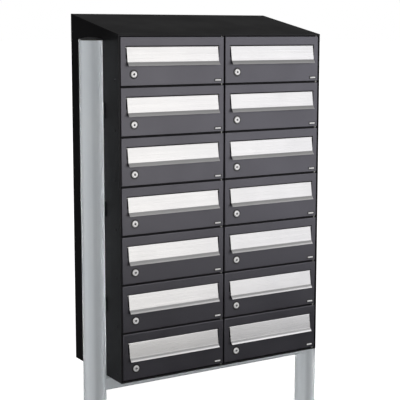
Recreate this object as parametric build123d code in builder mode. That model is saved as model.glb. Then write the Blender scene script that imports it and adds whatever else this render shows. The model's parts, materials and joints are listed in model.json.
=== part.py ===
from build123d import *
import os
from math import asin, atan2, cos, sqrt

# Cluster mailbox unit: two columns of seven boxes in a folded steel cabinet,
# carried between two round posts on base plates.
# Millimetres. X to the right, Y to the back, Z up. The origin is on the ground,
# under the middle of the whole unit.

# Layout of the boxes
COLUMNS = ("left", "right")
ROWS = 7
ROW_PITCH = 160.0
ROW_GAP = 5.0
COLUMN_GAP = 6.0
EDGE_GAP = 3.0

# Cabinet
CASE_W = 790.0
CASE_D = 350.0
CASE_BOTTOM = 615.0
SHEET = 1.5
FRONT_Y = -168.0
BACK_Y = FRONT_Y + CASE_D
REVEAL_W = 4.0
HEM_D = 16.0
SILL_H = 5.0
FRONT_CLEARANCE = 0.5
TOP_LINE = CASE_BOTTOM + SILL_H + ROWS * ROW_PITCH
ROOF_FRONT_TOP = TOP_LINE + 5.0
ROOF_LIP_BOTTOM = TOP_LINE + 1.0
ROOF_RISE = 69.0
ROOF_FLANGE = 12.0
ROOF_FLANGE_FRONT = FRONT_Y + 68.0
ROOF_FLANGE_BACK = BACK_Y - 4.0
PLATE_FRONT_Y = FRONT_Y + 2.0
NOTCH_Y = -149.5
PLATE_FLANGE_H = 12.0
PLATE_FLANGE_FRONT = -128.0
PLATE_FLANGE_BACK = 178.0

# Door leaf, in the door's own frame: x from its middle, z down from its top edge
DOOR_W = (CASE_W - 2 * (REVEAL_W + EDGE_GAP) - COLUMN_GAP) / 2
DOOR_H = ROW_PITCH - ROW_GAP
DOOR_D = 15.0
BEND_R = 2.5
PIVOT_INSET = 6.0
PIVOT_R = 2.0
RUNNING_FIT = 0.05
PIN_REACH = 7.0
COLLAR_R = 4.0
COLLAR_H = 1.4

# Letter slot and its flap
SLOT_W = 348.0
SLOT_H = 40.0
SLOT_TOP = -28.5
FLAP_W = 340.0
FLAP_SHEET = 1.2
ROD_Y = FRONT_Y + 5.0
ROD_Z = -33.5
ROD_R = 2.0
ROD_L = SLOT_W + 8.0
KNUCKLE_R = 3.5
FLAP_KNEE = (FRONT_Y - 5.0, -80.0)
FLAP_LIP_MIDDLE = (FRONT_Y - 10.8, -86.5)
FLAP_LIP_EDGE = (FRONT_Y - 14.0, -92.0)
FLAP_BEND_R = 1.5
LUG_H = 13.5
LUG_D = 10.5
BUFFER_R = 4.0
BUFFER_H = 1.6
BUFFER_FILLET = 0.8
BUFFER_X = 150.0
BUFFER_Z = -75.0

# Cam lock
LOCK_X = -DOOR_W / 2 + 46.5
LOCK_Z = -DOOR_H + 37.0
GASKET_R = 15.0
GASKET_T = 0.8
LOCK_HEAD_R = 10.5
LOCK_HEAD_FRONT = FRONT_Y - GASKET_T - 3.0
LOCK_HEAD_CHAMFER = 1.2
BARREL_R = 8.0
BARREL_BACK = FRONT_Y + 20.0
PLUG_R = 5.8
PLUG_FLANGE_R = 8.0
PLUG_FLANGE_H = 1.2
KEYWAY_W = 1.8
KEYWAY_H = 7.0
KEYWAY_D = 5.0
CAM_GAP = 0.3
CAM_T = 2.0
CAM_W = 10.0
CAM_L = 34.0
TANG = 7.0
LOCK_SCREW_R = 2.0
LOCK_SCREW_L = 8.0
LOCK_SCREW_HEAD_R = 5.0
LOCK_SCREW_HEAD_H = 3.0
LOCK_NUT_AF = 22.0
LOCK_NUT_H = 4.0
STRIKE_Y = FRONT_Y + 17.0
STRIKE_H = 30.0
STRIKE_LEG = 20.0
STRIKE_LEG_H = 42.0
STRIKE_OVERLAP = 24.0
RIVET_Y = STRIKE_Y + 12.0
RIVET_DROP = 19.0
RIVET_R = 2.0
RIVET_HEAD_R = 4.0
RIVET_HEAD_H = 1.4
RIVET_HEAD_FILLET = 1.1
RIVET_TAIL_R = 3.0
RIVET_TAIL_H = 1.0

# Blank badge
BADGE_W = 29.0
BADGE_H = 10.0
BADGE_T = 0.8
BADGE_CORNER_R = 1.5
BADGE_X = DOOR_W / 2 - 22.5
BADGE_Z = -DOOR_H + 12.5

# Posts, crossbar and feet
POST_R = 38.0
POST_WALL = 3.0
POST_GAP = 2.0
POST_X = CASE_W / 2 + POST_GAP + POST_R
POST_Y = FRONT_Y + 116.0
POST_TOP = 1726.0
CAP_RIM_H = 4.0
CAP_DOME_H = 6.0
CAP_PLUG_H = 15.0
FOOT_W = 160.0
FOOT_D = 290.0
FOOT_T = 8.0
FOOT_CORNER_R = 12.0
FOOT_CHAMFER = 1.0
FOOT_Y = FRONT_Y - 10.0 + FOOT_D / 2
FOOT_HOLE_R = 6.0
FOOT_SPACING_X = 110.0
FOOT_SPACING_Y = 240.0
BAR_D = 60.0
BAR_H = 40.0
BAR_TOP = 612.0
BAR_WALL = 3.0
BAR_CORNER_R = 4.0
BAR_END_PLATE_X = 388.0
BAR_END_PLATE_T = 5.0
BAR_ACCESS_R = 15.0
BAR_ACCESS_X = 366.0
PAD_W = 50.0
PAD_D = 40.0
PAD_CORNER_R = 4.0
PAD_X = (-330.0, -110.0, 110.0, 330.0)

# Bolts that hold the cabinet and the crossbar to the posts
BOLT_ROWS = (1, 3, 5)
BOLT_R = 4.0
BOLT_HEAD_R = 7.0
BOLT_HEAD_H = 5.0
BOLT_HEAD_FILLET = 2.5
BOLT_NUT_AF = 13.0
BOLT_NUT_H = 6.5
BOLT_NUT_CLEARANCE = 0.9
BOLT_TAIL = 2.0
BAR_BOLT_R = 5.0
BAR_BOLT_HEAD_AF = 16.0
BAR_BOLT_HEAD_H = 6.5
BAR_BOLT_NUT_H = 8.0
BAR_BOLT_NUT_CLEARANCE = 1.4
SADDLE_W = 30.0
SADDLE_H = 50.0
SADDLE_D = 8.0

HALF_W = CASE_W / 2
INNER_X = HALF_W - SHEET
BAR_Z = BAR_TOP - BAR_H / 2


def roof_top(y):
    """Height of the roof's outer face at depth y."""
    return ROOF_FRONT_TOP + ROOF_RISE * (y - FRONT_Y) / CASE_D


def roof_under(y):
    """Height of the roof sheet's underside at depth y."""
    slope = atan2(ROOF_RISE, CASE_D)
    return roof_top(y) - SHEET / cos(slope)


def level_z(level):
    """Height of the line between two rows; level 0 is over the top row."""
    return TOP_LINE - level * ROW_PITCH


def door_x(column):
    """Middle of a column's doors."""
    side = -1 if column == "left" else 1
    return side * (COLUMN_GAP + DOOR_W) / 2


def door_top(row):
    return level_z(row) - ROW_GAP / 2


def pivot_x(column):
    return door_x(column) + DOOR_W / 2 - PIVOT_INSET


def along_y(x, y, z):
    """A place whose local Z axis runs along world Y."""
    return Location((x, y, z), (90, 0, 0))


def along_x(x, y, z):
    """A place whose local Z axis runs along world X."""
    return Location((x, y, z), (0, 90, 0))


def rivet_holes(x):
    """Holes through one wall for the rivets of its seven lock strikes."""
    for row in range(ROWS):
        with Locations(along_x(x, RIVET_Y, door_top(row) + LOCK_Z - RIVET_DROP)):
            Cylinder(RIVET_R, 4 * SHEET, mode=Mode.SUBTRACT)


def save(name, *pieces):
    """Write one node as one STEP file; each piece stays its own solid."""
    node = Compound([solid for piece in pieces for solid in piece.solids()])
    node.label = name
    export_step(node, f"parts/{name}.step")


# ---------------------------------------------------------------- cabinet

def side_panel(side):
    """Outer skin with a narrow front reveal and a hem folded behind it."""
    with BuildPart() as panel:
        with BuildSketch(Plane.YZ.offset(side * HALF_W)):
            with BuildLine():
                Polyline(
                    (FRONT_Y, CASE_BOTTOM),
                    (BACK_Y, CASE_BOTTOM),
                    (BACK_Y, roof_under(BACK_Y)),
                    (FRONT_Y + SHEET, roof_under(FRONT_Y + SHEET)),
                    (FRONT_Y + SHEET, ROOF_LIP_BOTTOM),
                    (FRONT_Y, ROOF_LIP_BOTTOM),
                    close=True,
                )
            make_face()
        extrude(amount=-side * SHEET)
        height = ROOF_LIP_BOTTOM - CASE_BOTTOM
        middle = (ROOF_LIP_BOTTOM + CASE_BOTTOM) / 2
        with Locations((side * (HALF_W - REVEAL_W / 2), FRONT_Y + SHEET / 2, middle)):
            Box(REVEAL_W, SHEET, height)
        with Locations((side * (HALF_W - REVEAL_W + SHEET / 2), FRONT_Y + HEM_D / 2, middle)):
            Box(SHEET, HEM_D, height)
        corner = panel.edges().filter_by(Axis.Z).group_by(Axis.Y)[0]
        fillet(corner, SHEET / 2)
        for row in BOLT_ROWS:
            with Locations(along_x(side * HALF_W, POST_Y, level_z(row) - ROW_PITCH / 2)):
                Cylinder(BOLT_R, 4 * SHEET, mode=Mode.SUBTRACT)
        if side < 0:
            rivet_holes(-HALF_W)
    return panel.part


def back_panel():
    height = roof_under(BACK_Y - SHEET) - CASE_BOTTOM
    with BuildPart() as panel:
        with Locations((0, BACK_Y - SHEET / 2, CASE_BOTTOM + height / 2)):
            Box(2 * INNER_X, SHEET, height)
    return panel.part


def roof():
    """Sloping sheet with a front lip and a flange inside each side panel."""
    with BuildPart() as sheet:
        with BuildSketch(Plane.YZ):
            with BuildLine():
                Polyline(
                    (FRONT_Y, ROOF_LIP_BOTTOM),
                    (FRONT_Y, roof_top(FRONT_Y)),
                    (BACK_Y, roof_top(BACK_Y)),
                    (BACK_Y, roof_under(BACK_Y)),
                    (FRONT_Y + SHEET, roof_under(FRONT_Y + SHEET)),
                    (FRONT_Y + SHEET, ROOF_LIP_BOTTOM),
                    close=True,
                )
            make_face()
        extrude(amount=HALF_W, both=True)
        bend = sheet.edges().filter_by(Axis.X).sort_by_distance((0, FRONT_Y, roof_top(FRONT_Y)))[0]
        fillet(bend, SHEET)
        for side in (-1, 1):
            with BuildSketch(Plane.YZ.offset(side * INNER_X)):
                with BuildLine():
                    Polyline(
                        (ROOF_FLANGE_FRONT, roof_under(ROOF_FLANGE_FRONT)),
                        (ROOF_FLANGE_BACK, roof_under(ROOF_FLANGE_BACK)),
                        (ROOF_FLANGE_BACK, roof_under(ROOF_FLANGE_BACK) - ROOF_FLANGE),
                        (ROOF_FLANGE_FRONT, roof_under(ROOF_FLANGE_FRONT) - ROOF_FLANGE),
                        close=True,
                    )
                make_face()
            extrude(amount=-side * SHEET)
    return sheet.part


def plate_holes(z, columns):
    """Holes that the door pivot pins are pressed into."""
    for column in columns:
        with Locations((pivot_x(column), FRONT_Y + PIVOT_INSET, z)):
            Cylinder(PIVOT_R, 4 * SHEET, mode=Mode.SUBTRACT)


def floor_panel():
    """Bottom sheet with a folded front sill."""
    top = CASE_BOTTOM + SILL_H
    front_x = HALF_W - REVEAL_W - FRONT_CLEARANCE
    with BuildPart() as panel:
        with Locations((0, (NOTCH_Y + BACK_Y - SHEET) / 2, top - SHEET / 2)):
            Box(2 * INNER_X, BACK_Y - SHEET - NOTCH_Y, SHEET)
        with Locations((0, (FRONT_Y + NOTCH_Y) / 2, top - SHEET / 2)):
            Box(2 * front_x, NOTCH_Y - FRONT_Y, SHEET)
        with Locations((0, FRONT_Y + SHEET / 2, top - SILL_H / 2)):
            Box(2 * front_x, SHEET, SILL_H)
        bend = panel.edges().filter_by(Axis.X).sort_by_distance((0, FRONT_Y, top))[0]
        fillet(bend, SHEET / 2)
        plate_holes(top, COLUMNS)
    return panel.part


def centre_divider():
    bottom = CASE_BOTTOM + SILL_H
    top = TOP_LINE + SHEET / 2
    front = NOTCH_Y - FRONT_CLEARANCE
    with BuildPart() as divider:
        with Locations((0, (front + BACK_Y - SHEET) / 2, (bottom + top) / 2)):
            Box(SHEET, BACK_Y - SHEET - front, top - bottom)
        rivet_holes(0)
    return divider.part


def compartment_plates():
    """The fourteen plates over the boxes, each with two side flanges turned down."""
    inner = SHEET / 2
    flange_length = PLATE_FLANGE_BACK - PLATE_FLANGE_FRONT
    flange_y = (PLATE_FLANGE_BACK + PLATE_FLANGE_FRONT) / 2
    with BuildPart() as plates:
        for level in range(ROWS):
            z = level_z(level)
            for side in (-1, 1):
                with Locations((side * (inner + INNER_X) / 2, (NOTCH_Y + BACK_Y - SHEET) / 2, z)):
                    Box(INNER_X - inner, BACK_Y - SHEET - NOTCH_Y, SHEET)
                tongue_in = 2 * inner
                tongue_out = HALF_W - REVEAL_W - FRONT_CLEARANCE
                with Locations((side * (tongue_in + tongue_out) / 2, (PLATE_FRONT_Y + NOTCH_Y) / 2, z)):
                    Box(tongue_out - tongue_in, NOTCH_Y - PLATE_FRONT_Y, SHEET)
                for x in (inner + SHEET / 2, INNER_X - SHEET / 2):
                    with Locations((side * x, flange_y, z - SHEET / 2 - PLATE_FLANGE_H / 2)):
                        Box(SHEET, flange_length, PLATE_FLANGE_H)
            plate_holes(z, COLUMNS)
    return plates.part


def door_pivot_pins():
    """Pins through the plates; a collar under each door carries its weight."""
    with BuildPart() as pins:
        for level in range(ROWS + 1):
            z = level_z(level) if level < ROWS else CASE_BOTTOM + SILL_H - SHEET / 2
            bottom = z - PIN_REACH if level < ROWS else z - SHEET
            top = z + SHEET if level == 0 else level_z(level) + PIN_REACH
            for column in COLUMNS:
                x = pivot_x(column)
                y = FRONT_Y + PIVOT_INSET
                with Locations((x, y, (bottom + top) / 2)):
                    Cylinder(PIVOT_R, top - bottom)
                if level > 0:
                    with Locations((x, y, z + SHEET / 2 + COLLAR_H / 2)):
                        Cylinder(COLLAR_R, COLLAR_H)
    return pins.part


def strike_wall(column):
    """Inner face of the wall beside a column's free door edges."""
    return -INNER_X if column == "left" else SHEET / 2


def lock_strikes():
    """Angle tabs on the wall beside each door's free edge; the cams turn behind them."""
    with BuildPart() as strikes:
        for column in COLUMNS:
            wall = strike_wall(column)
            tab_end = door_x(column) - DOOR_W / 2 + STRIKE_OVERLAP
            for row in range(ROWS):
                z = door_top(row) + LOCK_Z
                leg_z = z + (STRIKE_H - STRIKE_LEG_H) / 2
                with Locations(((wall + tab_end) / 2, STRIKE_Y + SHEET / 2, z)):
                    Box(tab_end - wall, SHEET, STRIKE_H)
                with Locations((wall + SHEET / 2, STRIKE_Y + STRIKE_LEG / 2, leg_z)):
                    Box(SHEET, STRIKE_LEG, STRIKE_LEG_H)
            rivet_holes(wall)
    return strikes.part


def strike_rivets():
    """Blind rivets that hold the strikes: domed head outside the wall, set tail inside."""
    rivets = []
    for column in COLUMNS:
        head_x = strike_wall(column) - SHEET
        tail_x = strike_wall(column) + SHEET
        for row in range(ROWS):
            z = door_top(row) + LOCK_Z - RIVET_DROP
            with BuildPart() as rivet:
                with Locations(along_x(head_x - RIVET_HEAD_H / 2, RIVET_Y, z)):
                    Cylinder(RIVET_HEAD_R, RIVET_HEAD_H)
                fillet(rivet.faces().sort_by(Axis.X)[0].edges(), RIVET_HEAD_FILLET)
                with Locations(along_x((head_x + tail_x) / 2, RIVET_Y, z)):
                    Cylinder(RIVET_R, tail_x - head_x)
                with Locations(along_x(tail_x + RIVET_TAIL_H / 2, RIVET_Y, z)):
                    Cylinder(RIVET_TAIL_R, RIVET_TAIL_H)
            rivets.append(rivet.part)
    return rivets


# ------------------------------------------------- door, in its own frame

def door_leaf():
    """Folded pan with the slot, lock hole, pivot holes and two lugs for the flap rod."""
    with BuildPart() as leaf:
        with Locations((0, FRONT_Y + DOOR_D / 2, -DOOR_H / 2)):
            Box(DOOR_W, DOOR_D, DOOR_H)
        fillet(leaf.faces().sort_by(Axis.Y)[0].edges(), BEND_R)
        offset(amount=-SHEET, openings=leaf.faces().sort_by(Axis.Y)[-1])
        for side in (-1, 1):
            lug_y = FRONT_Y + SHEET + LUG_D / 2
            with Locations((side * (SLOT_W + SHEET) / 2, lug_y, SLOT_TOP - LUG_H / 2)):
                Box(SHEET, LUG_D, LUG_H)
        with Locations((0, FRONT_Y + SHEET / 2, SLOT_TOP - SLOT_H / 2)):
            Box(SLOT_W, 3 * SHEET, SLOT_H, mode=Mode.SUBTRACT)
        with Locations(along_x(0, ROD_Y, ROD_Z)):
            Cylinder(ROD_R, SLOT_W + 4 * SHEET, mode=Mode.SUBTRACT)
        with Locations(along_y(LOCK_X, FRONT_Y, LOCK_Z)):
            Cylinder(BARREL_R, 4 * SHEET, mode=Mode.SUBTRACT)
        for z in (0, -DOOR_H):
            with Locations((DOOR_W / 2 - PIVOT_INSET, FRONT_Y + PIVOT_INSET, z)):
                Cylinder(PIVOT_R + RUNNING_FIT, 4 * SHEET, mode=Mode.SUBTRACT)
    return leaf.part


def flap_rod():
    with BuildPart() as rod:
        with Locations(along_x(0, ROD_Y, ROD_Z)):
            Cylinder(ROD_R, ROD_L)
    return rod.part


def flap_buffers():
    """Rubber discs that the flap closes against."""
    with BuildPart() as buffers:
        with Locations(
            along_y(-BUFFER_X, FRONT_Y - BUFFER_H / 2, BUFFER_Z),
            along_y(BUFFER_X, FRONT_Y - BUFFER_H / 2, BUFFER_Z),
        ):
            Cylinder(BUFFER_R, BUFFER_H)
        fillet(buffers.faces().group_by(Axis.Y)[0].edges(), BUFFER_FILLET)
    return buffers.part


def lock_gasket():
    """Thin washer between the lock's head and the door's face."""
    with BuildPart() as gasket:
        with BuildSketch(Plane.XZ.offset(-FRONT_Y)):
            with Locations((LOCK_X, LOCK_Z)):
                Circle(GASKET_R)
                Circle(BARREL_R, mode=Mode.SUBTRACT)
        extrude(amount=GASKET_T)
    return gasket.part


def lock_housing():
    """Round head over the gasket, barrel through the door, stepped bore for the plug."""
    head_back = FRONT_Y - GASKET_T
    recess = PLUG_FLANGE_H + 4 * RUNNING_FIT
    with BuildPart() as housing:
        with Locations(along_y(LOCK_X, (LOCK_HEAD_FRONT + head_back) / 2, LOCK_Z)):
            Cylinder(LOCK_HEAD_R, head_back - LOCK_HEAD_FRONT)
        chamfer(housing.faces().sort_by(Axis.Y)[0].edges(), LOCK_HEAD_CHAMFER)
        with Locations(along_y(LOCK_X, (head_back + BARREL_BACK) / 2, LOCK_Z)):
            Cylinder(BARREL_R, BARREL_BACK - head_back)
        with Locations(along_y(LOCK_X, (LOCK_HEAD_FRONT + BARREL_BACK) / 2, LOCK_Z)):
            Cylinder(PLUG_R + RUNNING_FIT, 2 * (BARREL_BACK - LOCK_HEAD_FRONT), mode=Mode.SUBTRACT)
        with Locations(along_y(LOCK_X, LOCK_HEAD_FRONT + recess / 2, LOCK_Z)):
            Cylinder(PLUG_FLANGE_R + 2 * RUNNING_FIT, recess, mode=Mode.SUBTRACT)
    return housing.part


def lock_nut():
    with BuildPart() as nut:
        with BuildSketch(Plane.XZ.offset(-(FRONT_Y + SHEET + LOCK_NUT_H))):
            with Locations((LOCK_X, LOCK_Z)):
                RegularPolygon(LOCK_NUT_AF / 2, 6, major_radius=False)
                Circle(BARREL_R, mode=Mode.SUBTRACT)
        extrude(amount=LOCK_NUT_H)
    return nut.part


def blank_badge():
    with BuildPart() as badge:
        with BuildSketch(Plane.XZ.offset(-FRONT_Y)):
            with Locations((BADGE_X, BADGE_Z)):
                RectangleRounded(BADGE_W, BADGE_H, BADGE_CORNER_R)
        extrude(amount=BADGE_T)
    return badge.part


def flap():
    """Stainless flap: curl on the rod, leaning panel and a lip flared in two steps."""
    with BuildPart() as sheet:
        with BuildSketch(Plane.YZ.offset(-FLAP_W / 2)):
            with BuildLine() as outline:
                FilletPolyline(
                    (ROD_Y - KNUCKLE_R, ROD_Z),
                    FLAP_KNEE,
                    FLAP_LIP_MIDDLE,
                    FLAP_LIP_EDGE,
                    radius=FLAP_BEND_R,
                )
                offset(amount=FLAP_SHEET, side=Side.LEFT)
            make_face()
            with Locations((ROD_Y, ROD_Z)):
                Circle(KNUCKLE_R)
                Circle(ROD_R + RUNNING_FIT, mode=Mode.SUBTRACT)
        extrude(amount=FLAP_W)
    return sheet.part


# -------------------------------------------- lock plug, in the door's frame

def lock_plug():
    front = LOCK_HEAD_FRONT + 2 * RUNNING_FIT
    back = BARREL_BACK + CAM_GAP
    with BuildPart() as plug:
        with Locations(along_y(LOCK_X, (front + back) / 2, LOCK_Z)):
            Cylinder(PLUG_R, back - front)
        with Locations(along_y(LOCK_X, front + PLUG_FLANGE_H / 2, LOCK_Z)):
            Cylinder(PLUG_FLANGE_R, PLUG_FLANGE_H)
        with Locations((LOCK_X, back + CAM_T / 2, LOCK_Z)):
            Box(TANG, CAM_T, TANG)
        with Locations((LOCK_X, front + KEYWAY_D / 2, LOCK_Z)):
            Box(KEYWAY_W, KEYWAY_D, KEYWAY_H, mode=Mode.SUBTRACT)
        with Locations(along_y(LOCK_X, back + CAM_T - LOCK_SCREW_L / 2, LOCK_Z)):
            Cylinder(LOCK_SCREW_R, LOCK_SCREW_L, mode=Mode.SUBTRACT)
    return plug.part


def lock_cam():
    """Cam plate that hangs straight down while the door is unlocked."""
    back = BARREL_BACK + CAM_GAP + CAM_T
    straight = CAM_L - CAM_W / 2
    with BuildPart() as cam:
        with BuildSketch(Plane.XZ.offset(-back)):
            with Locations((LOCK_X, LOCK_Z - straight / 2)):
                Rectangle(CAM_W, straight)
            with Locations((LOCK_X, LOCK_Z - straight)):
                Circle(CAM_W / 2)
            with Locations((LOCK_X, LOCK_Z)):
                Circle(PLUG_R)
                Rectangle(TANG, TANG, mode=Mode.SUBTRACT)
        extrude(amount=CAM_T)
    return cam.part


def lock_screw():
    back = BARREL_BACK + CAM_GAP + CAM_T
    with BuildPart() as screw:
        with Locations(along_y(LOCK_X, back - LOCK_SCREW_L / 2, LOCK_Z)):
            Cylinder(LOCK_SCREW_R, LOCK_SCREW_L)
        with Locations(along_y(LOCK_X, back + LOCK_SCREW_HEAD_H / 2, LOCK_Z)):
            Cylinder(LOCK_SCREW_HEAD_R, LOCK_SCREW_HEAD_H)
    return screw.part


# ---------------------------------------------------------------- stand

def post(side):
    """Round tube with holes in the wall that faces the cabinet."""
    with BuildPart() as tube:
        with Locations((side * POST_X, POST_Y, (FOOT_T + POST_TOP) / 2)):
            Cylinder(POST_R, POST_TOP - FOOT_T)
            Cylinder(POST_R - POST_WALL, POST_TOP - FOOT_T, mode=Mode.SUBTRACT)
        near_wall = side * (POST_X - POST_R + POST_WALL / 2)
        for row in BOLT_ROWS:
            with Locations(along_x(near_wall, POST_Y, level_z(row) - ROW_PITCH / 2)):
                Cylinder(BOLT_R, 4 * POST_WALL, mode=Mode.SUBTRACT)
        with Locations(along_x(near_wall, POST_Y, BAR_Z)):
            Cylinder(BAR_BOLT_R, 4 * POST_WALL, mode=Mode.SUBTRACT)
    return tube.part


def post_caps():
    """Low domed covers with a plug inside the tube."""
    with BuildPart() as caps:
        for side in (-1, 1):
            with BuildSketch(Plane.XZ.offset(-POST_Y)):
                with BuildLine():
                    x = side * POST_X
                    inner = side * (POST_R - POST_WALL)
                    Polyline(
                        (x, POST_TOP + CAP_RIM_H + CAP_DOME_H),
                        (x, POST_TOP - CAP_PLUG_H),
                        (x + inner, POST_TOP - CAP_PLUG_H),
                        (x + inner, POST_TOP),
                        (x + side * POST_R, POST_TOP),
                        (x + side * POST_R, POST_TOP + CAP_RIM_H),
                    )
                    radius = (POST_R**2 + CAP_DOME_H**2) / (2 * CAP_DOME_H)
                    half = asin(POST_R / radius) / 2
                    middle = radius * (1 - cos(half))
                    across = radius * sqrt(1 - cos(half) ** 2)
                    ThreePointArc(
                        (x + side * POST_R, POST_TOP + CAP_RIM_H),
                        (x + side * across, POST_TOP + CAP_RIM_H + CAP_DOME_H - middle),
                        (x, POST_TOP + CAP_RIM_H + CAP_DOME_H),
                    )
                make_face()
            revolve(axis=Axis((side * POST_X, POST_Y, 0), (0, 0, 1)))
    return caps.part


def base_plates():
    """Flat feet, set back under the cabinet's weight, with anchor holes."""
    with BuildPart() as plates:
        for side in (-1, 1):
            with BuildSketch():
                with Locations((side * POST_X, FOOT_Y)):
                    RectangleRounded(FOOT_W, FOOT_D, FOOT_CORNER_R)
                    with GridLocations(FOOT_SPACING_X, FOOT_SPACING_Y, 2, 2):
                        Circle(FOOT_HOLE_R, mode=Mode.SUBTRACT)
            extrude(amount=FOOT_T)
        top_faces = plates.faces().group_by(Axis.Z)[-1]
        chamfer([edge for face in top_faces for edge in face.outer_wire().edges()], FOOT_CHAMFER)
    return plates.part


def crossbar():
    """Rectangular tube under the cabinet, its ends cut to the posts."""
    reach = POST_X - sqrt(POST_R**2 - (BAR_D / 2) ** 2)
    with BuildPart() as bar:
        with Locations((0, POST_Y, BAR_Z)):
            Box(2 * reach, BAR_D, BAR_H)
        fillet(bar.edges().filter_by(Axis.X), BAR_CORNER_R)
        with Locations((0, POST_Y, BAR_Z)):
            Box(2 * reach, BAR_D - 2 * BAR_WALL, BAR_H - 2 * BAR_WALL, mode=Mode.SUBTRACT)
        for side in (-1, 1):
            plate_x = side * (BAR_END_PLATE_X + BAR_END_PLATE_T / 2)
            with Locations((plate_x, POST_Y, BAR_Z)):
                Box(BAR_END_PLATE_T, BAR_D - 2 * BAR_WALL, BAR_H - 2 * BAR_WALL)
            with Locations((side * POST_X, POST_Y, BAR_Z)):
                Cylinder(POST_R, 2 * BAR_H, mode=Mode.SUBTRACT)
            with Locations(along_x(plate_x, POST_Y, BAR_Z)):
                Cylinder(BAR_BOLT_R, 3 * BAR_END_PLATE_T, mode=Mode.SUBTRACT)
            with Locations((side * BAR_ACCESS_X, POST_Y, BAR_TOP - BAR_H)):
                Cylinder(BAR_ACCESS_R, 2 * BAR_WALL, mode=Mode.SUBTRACT)
    return bar.part


def crossbar_pads():
    """Rubber pads between the crossbar and the cabinet floor."""
    height = CASE_BOTTOM + SILL_H - SHEET - BAR_TOP
    with BuildPart() as pads:
        for x in PAD_X:
            with Locations((x, POST_Y, BAR_TOP + height / 2)):
                Box(PAD_W, PAD_D, height)
        fillet(pads.edges().filter_by(Axis.Z), PAD_CORNER_R)
    return pads.part


def post_saddles():
    """Blocks between a side panel and its post, hollowed to the post's curve."""
    depth = POST_GAP + POST_R
    with BuildPart() as saddles:
        for side in (-1, 1):
            for row in BOLT_ROWS:
                z = level_z(row) - ROW_PITCH / 2
                with Locations((side * (HALF_W + SADDLE_D / 2), POST_Y, z)):
                    Box(SADDLE_D, SADDLE_W, SADDLE_H)
                with Locations((side * (HALF_W + depth), POST_Y, z)):
                    Cylinder(POST_R, 2 * SADDLE_H, mode=Mode.SUBTRACT)
                with Locations(along_x(side * HALF_W, POST_Y, z)):
                    Cylinder(BOLT_R, 4 * depth, mode=Mode.SUBTRACT)
    return saddles.part


def hex_nut(side, x, z, across_flats, height, bore):
    """Nut with its axis along X, from x outwards."""
    plane = Plane(origin=(side * x, POST_Y, z), x_dir=(0, 1, 0), z_dir=(side, 0, 0))
    with BuildPart() as nut:
        with BuildSketch(plane):
            RegularPolygon(across_flats / 2, 6, major_radius=False)
            Circle(bore, mode=Mode.SUBTRACT)
        extrude(amount=height)
    return nut.part


def post_bolt(side, z):
    """Round-headed bolt from inside the cabinet into the post."""
    end = HALF_W + POST_GAP + POST_WALL + BOLT_NUT_CLEARANCE + BOLT_NUT_H + BOLT_TAIL
    with BuildPart() as bolt:
        with Locations(along_x(side * (INNER_X - BOLT_HEAD_H / 2), POST_Y, z)):
            Cylinder(BOLT_HEAD_R, BOLT_HEAD_H)
        fillet(bolt.faces().sort_by_distance((0, POST_Y, z))[0].edges(), BOLT_HEAD_FILLET)
        with Locations(along_x(side * (INNER_X + end) / 2, POST_Y, z)):
            Cylinder(BOLT_R, end - INNER_X)
    return bolt.part


def post_bolts():
    """Six bolts, each with its nut inside the post."""
    nut_x = HALF_W + POST_GAP + POST_WALL + BOLT_NUT_CLEARANCE
    pieces = []
    for side in (-1, 1):
        for row in BOLT_ROWS:
            z = level_z(row) - ROW_PITCH / 2
            pieces.append(post_bolt(side, z))
            pieces.append(hex_nut(side, nut_x, z, BOLT_NUT_AF, BOLT_NUT_H, BOLT_R))
    return pieces


def crossbar_bolts():
    """One bolt and nut at each end, from inside the crossbar into the post."""
    head_x = BAR_END_PLATE_X - BAR_BOLT_HEAD_H
    nut_x = POST_X - POST_R + POST_WALL + BAR_BOLT_NUT_CLEARANCE
    end = nut_x + BAR_BOLT_NUT_H + BOLT_TAIL
    pieces = []
    for side in (-1, 1):
        plane = Plane(origin=(side * head_x, POST_Y, BAR_Z), x_dir=(0, 1, 0), z_dir=(side, 0, 0))
        with BuildPart() as bolt:
            with BuildSketch(plane):
                RegularPolygon(BAR_BOLT_HEAD_AF / 2, 6, major_radius=False)
            extrude(amount=BAR_BOLT_HEAD_H)
            with Locations(along_x(side * (BAR_END_PLATE_X + end) / 2, POST_Y, BAR_Z)):
                Cylinder(BAR_BOLT_R, end - BAR_END_PLATE_X)
        pieces.append(bolt.part)
        pieces.append(hex_nut(side, nut_x, BAR_Z, BAR_BOLT_HEAD_AF, BAR_BOLT_NUT_H, BAR_BOLT_R))
    return pieces


os.makedirs("parts", exist_ok=True)

save("left_side_panel", side_panel(-1))
save("right_side_panel", side_panel(1))
save("back_panel", back_panel())
save("roof", roof())
save("floor_panel", floor_panel())
save("centre_divider", centre_divider())
save("compartment_plates", compartment_plates())
save("door_pivot_pins", door_pivot_pins())
save("lock_strikes", lock_strikes(), *strike_rivets())
save("left_post", post(-1))
save("right_post", post(1))
save("post_caps", post_caps())
save("base_plates", base_plates())
save("crossbar", crossbar())
save("crossbar_pads", crossbar_pads())
save("post_saddles", post_saddles())
save("post_bolts", *post_bolts())
save("crossbar_bolts", *crossbar_bolts())

DOOR_PIECES = (
    door_leaf(),
    flap_rod(),
    flap_buffers(),
    lock_gasket(),
    lock_housing(),
    lock_nut(),
    blank_badge(),
)
FLAP_PIECES = (flap(),)
LOCK_PIECES = (lock_plug(), lock_cam(), lock_screw())
for column in COLUMNS:
    for row in range(ROWS):
        place = Location((door_x(column), 0, door_top(row)))
        for kind, pieces in (("door", DOOR_PIECES), ("flap", FLAP_PIECES), ("lock", LOCK_PIECES)):
            save(f"{kind}_{column}_{row + 1}", *[piece.moved(place) for piece in pieces])
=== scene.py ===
import json
import math

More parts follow.
